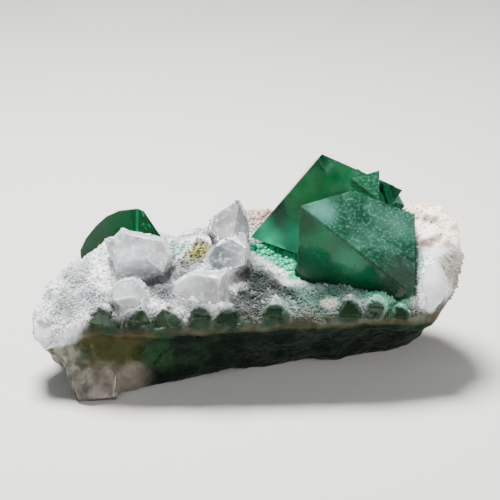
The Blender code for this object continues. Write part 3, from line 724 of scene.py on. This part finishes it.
druse_finish = Finish("clear_druse")
colour, lower = rock_colours(druse_finish)
sparkle = druse_finish.grain(0.9 * MM, 1)
dull = druse_finish.between(sparkle, 0.62, 0.4) * 0.08
druse_finish.surface(
    druse_finish.shader(
        {
            "Base Color": druse_finish.mix(dull, colour, DEEP_GREEN),
            "Roughness": druse_finish.between(sparkle, 0.76, 0.64) * 0.35 + 0.25,
            "IOR": QUARTZ_IOR,
            "Specular IOR Level": 0.05,
            "Transmission Weight": 0.08,
            "Subsurface Weight": 0.3,
            "Subsurface Radius": EVEN_DEPTH,
            "Subsurface Scale": 1.0 * MM,
        }
    )
)
faces = list(rock_surface.faces)
areas = [face.calc_area() for face in faces]
taken = set()
bands = {"front_druse": [], "top_druse": [], "back_druse": []}
for face in DRAW.choices(faces, areas, k=GRAIN_TRIES):
    place = face.calc_center_median()
    usual = DRAW.random() > BIG_SHARE
    size = DRAW.uniform(*GRAIN_SIZES) if usual else DRAW.uniform(GRAIN_SIZES[1], BIG_GRAIN)
    sway = Vector([DRAW.uniform(-1, 1) for _ in range(3)])
    stretch = DRAW.uniform(*GRAIN_STRETCHES)
    cell = tuple(round(x / (GRAIN_SPACING * size * MM)) for x in place) + (round(size),)
    if cell in taken or DRAW.random() > druse_cover(place, face.normal) or by_crystal(place, face.normal):
        continue
    taken.add(cell)
    axis = (face.normal + GRAIN_SWAY * sway).normalized()
    band = list(bands)[sum(place.y >= line for line in BAND_LINES)]
    bands[band].append((place - axis * size * stretch * MM * GRAIN_SINK, axis, size * MM, stretch))
shapes = grain_shapes(GRAIN_SHAPES)
for name, spots in bands.items():
    druse = stood(shapes, spots[:GRAINS_A_PIECE], name, druse_finish)
    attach(druse, "root")
for shape in shapes:
    bpy.data.meshes.remove(shape)

# The mint fringe: a strip of rounded quartz beads under the lower left edge of the rear fluorite. Their mint
# green is painted light, for the light that comes down to them through the fluorite.
BEAD_SIZES = (1.3, 2.1)
BEAD_SHAPES = 5
BEAD_FLATNESS = 0.8
BEAD_UNEVEN = 0.14
BEAD_LUMPS = 2.5
BEAD_SPACING = 0.95 * MM
BEAD_CLEAR = 0.2 * MM
BEAD_TRIES = 40000
PALE_MINT = (0.08, 0.46, 0.31, 1)


def bead_shapes(count):
    """Meshes of rounded beads one unit wide, each a little uneven."""
    made = []
    for number in range(count):
        bm = bmesh.new()
        bmesh.ops.create_icosphere(bm, subdivisions=3, radius=0.5)
        for vert in bm.verts:
            vert.co *= 1 + BEAD_UNEVEN * noise.noise(vert.co * BEAD_LUMPS + Vector((number, 0, 0)))
            vert.co.z *= BEAD_FLATNESS
        made.append(mesh_of(bm, f"bead_{number}"))
    return made


mint = Finish("mint_beads")
mint.surface(
    mint.shader(
        {
            # painted light: the mint green of light that comes down through the fluorite
            "Base Color": mint.mix(mint.between(mint.grain(1.5 * MM, 3), 0.4, 0.7), MINT, PALE_MINT),
            "Roughness": mint.grain(0.6 * MM) * 0.3 + 0.2,
            "IOR": QUARTZ_IOR,
            "Specular IOR Level": 0.15,
            "Transmission Weight": 0.35,
            "Subsurface Weight": 0.4,
            "Subsurface Radius": EVEN_DEPTH,
            "Subsurface Scale": 2.0 * MM,
        }
    )
)
beads = []
for face in DRAW.choices(faces, areas, k=BEAD_TRIES):
    place = face.calc_center_median()
    near, facing, _, _ = crystal_tree.find_nearest(place)
    if from_fringe(place) > FRINGE_WIDTH or (place - near).dot(facing) < BEAD_CLEAR:
        continue
    if any((place - other).length < BEAD_SPACING for other, _, _, _ in beads):
        continue
    beads.append((place, face.normal.copy(), DRAW.uniform(*BEAD_SIZES) * MM, 1.0))
shapes = bead_shapes(BEAD_SHAPES)
fringe = stood(shapes, beads, "mint_bead_fringe", mint)
for face in fringe.data.polygons:
    face.use_smooth = True
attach(fringe, "root")
for shape in shapes:
    bpy.data.meshes.remove(shape)
rock_surface.free()

# The quartz crystals: milky crystals, one to two centimetres long, most of each sunk in the rock. Their
# edges are slightly worn, and their satin faces are etched by up to a quarter of a millimetre.
MILK = (0.51, 0.54, 0.57, 1)
LILAC = (0.28, 0.29, 0.33, 1)
ICE = (0.10, 0.135, 0.15, 1)
PEARL = (0.205, 0.208, 0.215, 1)
ROOT_PALE = (0.30, 0.265, 0.235, 1)
ROOT_DIM = (0.09, 0.08, 0.06, 1)
# Shades inside the quartz crystals, as (place, radius, colour, strength) in millimetres
QUARTZ_SHADES = (
    ((-9.0, -1.0, 45.0), 11.0, PEARL, 0.9),
    ((-8.0, -10.5, 35.0), 9.0, ICE, 0.9),
    ((-9.0, -24.0, 29.0), 11.0, PEARL, 0.75),
    ((-3.0, -22.0, 28.0), 4.0, BEIGE, 0.35),
    ((-27.0, -12.0, 33.0), 7.0, SAGE, 0.35),
    ((-31.0, -16.0, 31.0), 6.0, LILAC, 0.6),
    ((-42.0, -8.0, 36.0), 6.0, SNOW, 0.9),
    ((-33.0, -23.0, 26.5), 5.0, SAGE, 0.5),
    ((-9.0, 3.0, 44.0), 4.0, SNOW, 0.5),
    ((47.5, -17.0, 35.0), 12.0, SNOW, 1.0),
    ((49.0, -18.0, 27.0), 5.0, LILAC, 0.3),
    ((-57.0, -20.0, 19.0), 9.0, SNOW, 0.95),
)
SHADE_CORE = 0.2
QUARTZ_EDGE = 0.5
EDGE_SEGMENTS = 3
FLAT_ANGLE = math.radians(1)
SHARP_ANGLE = math.radians(8)
ETCH_SPACING = 1.0 * MM
ETCH_CUTS = 6
ETCH_DEPTH = 0.25
# Hollows and bumps of the etching, as (share, width) in millimetres, and how far they lie below the face
ETCHES = ((0.7, 3.0), (0.3, 1.1))
ETCH_DROP = 0.3


def weathered(bm):
    """A crystal's solid cut into small faces and moved about a little by noise, as etched quartz is."""
    for _ in range(ETCH_CUTS):
        bmesh.ops.triangulate(bm, faces=bm.faces)
        long = [item for item in bm.edges if item.calc_length() > ETCH_SPACING]
        if not long:
            break
        bmesh.ops.subdivide_edges(bm, edges=long, cuts=1)
    bmesh.ops.triangulate(bm, faces=bm.faces)
    bm.normal_update()
    moves = []
    for vert in bm.verts:
        rise = sum(share * noise.noise(vert.co / (width * MM)) for share, width in ETCHES) - ETCH_DROP
        moves.append(vert.normal * rise * ETCH_DEPTH * MM)
    for vert, move in zip(bm.verts, moves):
        vert.co += move
        vert.co.z = max(vert.co.z, 0)
    return bm


def worn_crystal(node, edge):
    """A copy of a crystal's solid with flat faces and rounded edges."""
    bm = crystal_solid(node)
    bmesh.ops.dissolve_limit(bm, angle_limit=FLAT_ANGLE, verts=bm.verts, edges=bm.edges)
    sharp = [item for item in bm.edges if item.is_convex and item.calc_face_angle(0) > SHARP_ANGLE]
    bmesh.ops.bevel(
        bm,
        geom=sharp,
        offset=edge * MM,
        segments=EDGE_SEGMENTS,
        profile=0.5,
        affect="EDGES",
        material=-1,
        clamp_overlap=True,
    )
    return bm


milky = Finish("milky_quartz")
cloud = milky.grain(5 * MM, 5)
place = milky.wander(4 * MM, 4 * MM)
flecks = milky.between(milky.grain(1.6 * MM, 7), 0.5, 0.7)
colour = milky.mix(milky.between(cloud, 0.38, 0.68) * 0.8, MILK, LILAC)
for centre, radius, shade, strength in QUARTZ_SHADES:
    mask = milky.spot(place, Vector(centre) * MM, radius * MM, SHADE_CORE) * strength
    colour = milky.mix(mask, colour, shade)
colour = milky.mix(flecks * 0.4, colour, SNOW)
milky.surface(
    milky.shader(
        {
            "Base Color": colour,
            "Roughness": milky.between(cloud, 0.3, 0.7) * 0.2 + 0.22,
            "IOR": QUARTZ_IOR,
            "Transmission Weight": 0.12,
            "Subsurface Weight": 0.7,
            "Subsurface Radius": EVEN_DEPTH,
            "Subsurface Scale": 3.0 * MM,
            "Normal": milky.bump(milky.grain(2.6 * MM, 5), 0.3 * MM),
        }
    )
)
smoky = Finish("smoky_quartz")
cloud = smoky.grain(4 * MM, 4)
smoky.surface(
    smoky.shader(
        {
            "Base Color": smoky.mix(smoky.between(cloud, 0.35, 0.65), ROOT_PALE, ROOT_DIM),
            "Roughness": cloud * 0.25 + 0.2,
            "IOR": QUARTZ_IOR,
            "Specular IOR Level": 0.25,
            "Transmission Weight": 0.35,
            "Subsurface Weight": 0.3,
            "Subsurface Radius": EVEN_DEPTH,
            "Subsurface Scale": 1.5 * MM,
        }
    )
)
for node, name in QUARTZ_CRYSTALS.items():
    bm = weathered(worn_crystal(node, QUARTZ_EDGE))
    piece = shown(name, bm, smoky if "root" in node else milky, smooth=True)
    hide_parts(node)
    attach(piece, "root")

# The large fluorites: two octahedra four centimetres on edge, with smaller ones at their side, clear green
# with veils and cloudy zones inside. The upper right face of the front one is etched and frosted.
FLUORITE_EDGE = 0.16
CLEAR = (0.94, 1.0, 0.97, 1)
BODY_GREEN = (0.030, 0.068, 0.044, 1)
FRONT_GREEN = (0.0, 0.17, 0.062, 1)
DARK_GREEN = (0.001, 0.030, 0.012, 1)
# Painted light: the bright green that light coming through the crystals gives their edges
RIM_GREEN = (0.05, 0.80, 0.42, 1)
OLIVE = (0.035, 0.075, 0.026, 1)
FROST_GREEN = (0.004, 0.045, 0.022, 1)
FROST = (0.060, 0.180, 0.135, 1)
PLATE = (0.062, 0.185, 0.155, 1)
PLUM = (0.012, 0.015, 0.012, 1)
ABSORBED = (0.25, 0.74, 0.55, 1)
ABSORPTION = 260.0
# The frosted face: its direction, a point on it, how deep the frost goes, and the slant of its streaks
FROSTED_NORMAL = Vector((0.351, -0.598, 0.721))
FROSTED_POINT = Vector((12.9, -12.8, 51.5)) * MM
FROSTED_DEPTH = (0.5 * MM, 0.2 * MM)
STREAK_SLANT = math.radians(-38)
STREAK_SCALE = (0.8, 1.0, 1.3)
# Tints in the body of the large fluorites, and painted light, as (place, radius, colour, strength) in
# millimetres
TINT_CORE = 0.15
BODY_TINTS = (
    # painted light: a bright green rim along the lower left edge of the rear crystal
    ((1.5, 6.0, 36.3), 9.0, RIM_GREEN, 0.5),
    ((6.5, 2.0, 35.0), 5.0, RIM_GREEN, 0.4),
    ((4.5, 3.2, 33.4), 3.0, RIM_GREEN, 0.8),
    ((8.5, 1.6, 32.0), 3.0, RIM_GREEN, 0.8),
    ((12.5, 0.2, 31.0), 3.0, RIM_GREEN, 0.7),
    ((11.5, 1.5, 41.5), 6.5, FRONT_GREEN, 0.25),
    ((13.5, 0.5, 36.5), 8.0, RIM_GREEN, 0.22),
    ((15.0, 1.0, 50.0), 7.0, OLIVE, 0.7),
    ((23.4, -0.2, 55.1), 2.6, DARK_GREEN, 0.95),
    ((20.0, -13.0, 39.0), 14.0, FRONT_GREEN, 0.9),
    ((30.0, -16.0, 34.0), 9.0, FRONT_GREEN, 0.9),
    ((14.5, -12.0, 46.0), 7.0, DARK_GREEN, 0.8),
    ((15.0, -11.0, 31.4), 7.0, FRONT_GREEN, 0.3),
    ((27.3, -16.0, 36.2), 6.0, RIM_GREEN, 0.2),
    ((38.5, 6.0, 50.0), 9.0, DARK_GREEN, 0.75),
    ((40.0, -18.5, 31.0), 4.0, DARK_GREEN, 0.6),
)
# Zones of the frosted face
FROST_TINTS = (
    ((20.4, -12.0, 50.3), 6.5, PLATE, 0.85),
    ((41.5, -18.6, 33.1), 11.0, PLUM, 0.85),
    ((40.1, -8.0, 43.5), 6.0, FROST, 0.5),
)
# The share of cloudy body in the clear crystal, and patches with more, as (place, radius, core, share)
CLOUDINESS = 0.45
CLOUDY_PATCHES = (
    ((38.0, 6.0, 50.0), 9, 0.6, 0.25),
    ((15.0, -12.0, 47.0), 12, 0.4, 0.3),
    ((10.0, 1.5, 38.0), 13, 0.5, 0.35),
)


def tinted(finish, colour, place, tints):
    """A colour with soft patches of other colours laid over it, one after the other."""
    for centre, radius, tint, strength in tints:
        mask = finish.spot(place, Vector(centre) * MM, radius * MM, TINT_CORE) * strength
        colour = finish.mix(mask, colour, tint)
    return colour


gem = Finish("green_fluorite")
place = gem.wander(4 * MM, 2.0 * MM)
facing = gem.node(
    "ShaderNodeVectorMath", {"operation": "DOT_PRODUCT"}, {0: gem.place, 1: FROSTED_NORMAL}, "Value"
)
off_face = gem.math("ABSOLUTE", facing - FROSTED_POINT.dot(FROSTED_NORMAL))
flat = gem.between(off_face, *FROSTED_DEPTH)
etched = gem.node(
    "ShaderNodeMapping",
    {"vector_type": "POINT"},
    {"Vector": gem.wander(6 * MM, 2 * MM), "Rotation": (0.0, STREAK_SLANT, 0.0), "Scale": STREAK_SCALE},
)
streaks = gem.between(gem.grain(0.8 * MM, 10, etched), 0.45, 0.72)
clouds = gem.between(gem.grain(8 * MM, 4), 0.45, 0.65)
body = gem.mix(gem.between(gem.grain(9 * MM, 3), 0.4, 0.7), BODY_GREEN, DARK_GREEN)
body = tinted(gem, body, place, BODY_TINTS)
frosted = gem.mix(streaks * 0.6 + clouds * 0.4, FROST_GREEN, FROST)
frosted = tinted(gem, frosted, place, FROST_TINTS)
bump = gem.bump(gem.grain(0.6 * MM, 4) * flat, 0.08 * MM)
glass = gem.shader(
    {
        "Base Color": CLEAR,
        "Roughness": flat * 0.2 + 0.06,
        "IOR": FLUORITE_IOR,
        "Specular IOR Level": 0.15,
        "Transmission Weight": 1.0,
        "Normal": bump,
    }
)
veil = gem.shader(
    {
        "Base Color": gem.mix(flat, body, frosted),
        "Roughness": flat * 0.3 + 0.2,
        "IOR": FLUORITE_IOR,
        "Specular IOR Level": 0.12,
        "Normal": bump,
    }
)
cloudy = gem.between(gem.grain(7 * MM, 3), 0.4, 0.65) * 0.15 + CLOUDINESS + flat * (streaks * 0.15 + 0.2)
for centre, radius, core, share in CLOUDY_PATCHES:
    cloudy = cloudy + gem.spot(gem.place, Vector(centre) * MM, radius * MM, core) * share
gem.clear_surface(gem.blend(cloudy, glass, veil), ABSORBED, ABSORPTION)
cluster = shown("large_green_fluorites", worn_crystal("large_fluorite_cluster", FLUORITE_EDGE), gem)
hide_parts("large_fluorite_cluster")
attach(cluster, "root")

# The left fluorite: one worn green crystal, deeper in colour, that stands in the druse behind the large
# quartz crystal. It is clear with a cloudy body, and has upright growth ribs at its right.
LEFT_ABSORPTION = 420.0
LEFT_GREEN = (0.004, 0.036, 0.013, 1)
LEFT_GREY = (0.016, 0.034, 0.020, 1)
LEFT_BRIGHT = (0.008, 0.12, 0.05, 1)
# Where its ribbed right side begins, where its grey left side lies, and the bright line between the two
LEFT_RIGHT_SIDE = (-34.0 * MM, -31.5 * MM)
LEFT_GREY_SIDE = (40 * MM, 48 * MM)
BRIGHT_LINE = -32.6 * MM
BRIGHT_LINE_EDGE = (0.5 * MM, 0.2 * MM)
RIB_SPACING = 1.1 * MM
RIB_STRETCH = 0.12
RIB_DEPTH = 0.3 * MM

left_finish = Finish("left_green_fluorite")
across = left_finish.part(left_finish.place, "X")
right_side = left_finish.between(across, *LEFT_RIGHT_SIDE)
ribs = left_finish.node(
    "ShaderNodeMapping",
    {"vector_type": "POINT"},
    {"Vector": left_finish.place, "Scale": (1.0, 1.0, RIB_STRETCH)},
)
rib = left_finish.grain(RIB_SPACING, 2, ribs)
grey = left_finish.between(left_finish.grain(6 * MM, 4) * (8 * MM) - across, *LEFT_GREY_SIDE)
colour = left_finish.mix(grey, LEFT_GREEN, LEFT_GREY)
colour = left_finish.mix(left_finish.between(rib, 0.56, 0.66) * right_side, colour, LEFT_BRIGHT)
line = left_finish.between(left_finish.math("ABSOLUTE", across - BRIGHT_LINE), *BRIGHT_LINE_EDGE)
colour = left_finish.mix(line * 0.7, colour, LEFT_BRIGHT)
bump = left_finish.bump(rib * right_side, RIB_DEPTH)
glass = left_finish.shader(
    {
        "Base Color": CLEAR,
        "Roughness": 0.06,
        "IOR": FLUORITE_IOR,
        "Specular IOR Level": 0.2,
        "Transmission Weight": 1.0,
        "Normal": bump,
    }
)
veil = left_finish.shader(
    {
        "Base Color": colour,
        "Roughness": 0.25,
        "IOR": FLUORITE_IOR,
        "Specular IOR Level": 0.15,
        "Normal": bump,
    }
)
cloudy = left_finish.between(left_finish.grain(3 * MM, 4), 0.35, 0.65) * 0.08 + 0.8 + right_side * 0.1
left_finish.clear_surface(left_finish.blend(cloudy, glass, veil), ABSORBED, LEFT_ABSORPTION)
bm = worn_crystal("left_fluorite_crystal", FLUORITE_EDGE)
left_fluorite = shown("left_green_fluorite", bm, left_finish)
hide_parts("left_fluorite_crystal")
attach(left_fluorite, "root")

# The fluorites of the seam: nine small dark green octahedra in a row just above the stained seam. The
# quartz has grown round them, so they stand nearly flush with it. Those at the left are paler.
SEAM_EDGE = 0.12
SEAM_GREEN = (0.010, 0.036, 0.014, 1)
SEAM_PALE = (0.050, 0.085, 0.045, 1)
SEAM_CLEAR = (0.5, 0.8, 0.65, 1)
PALE_STARTS = (0.0, -24 * MM)
seam_finish = Finish("dark_seam_fluorite")
cloud = seam_finish.between(seam_finish.grain(2 * MM, 3), 0.35, 0.7)
pale = seam_finish.between(seam_finish.part(seam_finish.wander(3 * MM, 8 * MM), "X"), *PALE_STARTS)
green = seam_finish.mix(cloud, SEAM_GREEN, MOSS_GREEN)
veil = seam_finish.shader(
    {
        "Base Color": seam_finish.mix(pale * 0.8, green, SEAM_PALE),
        "Roughness": cloud * 0.3 + 0.2,
        "IOR": FLUORITE_IOR,
        "Specular IOR Level": 0.2,
        "Normal": seam_finish.bump(seam_finish.grain(0.5 * MM, 3), 0.06 * MM),
    }
)
glass = seam_finish.shader(
    {
        "Base Color": SEAM_CLEAR,
        "Roughness": 0.08,
        "IOR": FLUORITE_IOR,
        "Specular IOR Level": 0.25,
        "Transmission Weight": 1.0,
    }
)
seam_finish.clear_surface(seam_finish.blend(cloud * 0.2 + 0.5, glass, veil), ABSORBED, ABSORPTION)
for node in CRYSTALS:
    if node.startswith("seam_fluorite"):
        window = node.replace("seam_fluorite", "green_window")
        piece = shown(window, worn_crystal(node, SEAM_EDGE), seam_finish)
        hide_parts(node)
        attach(piece, "root")
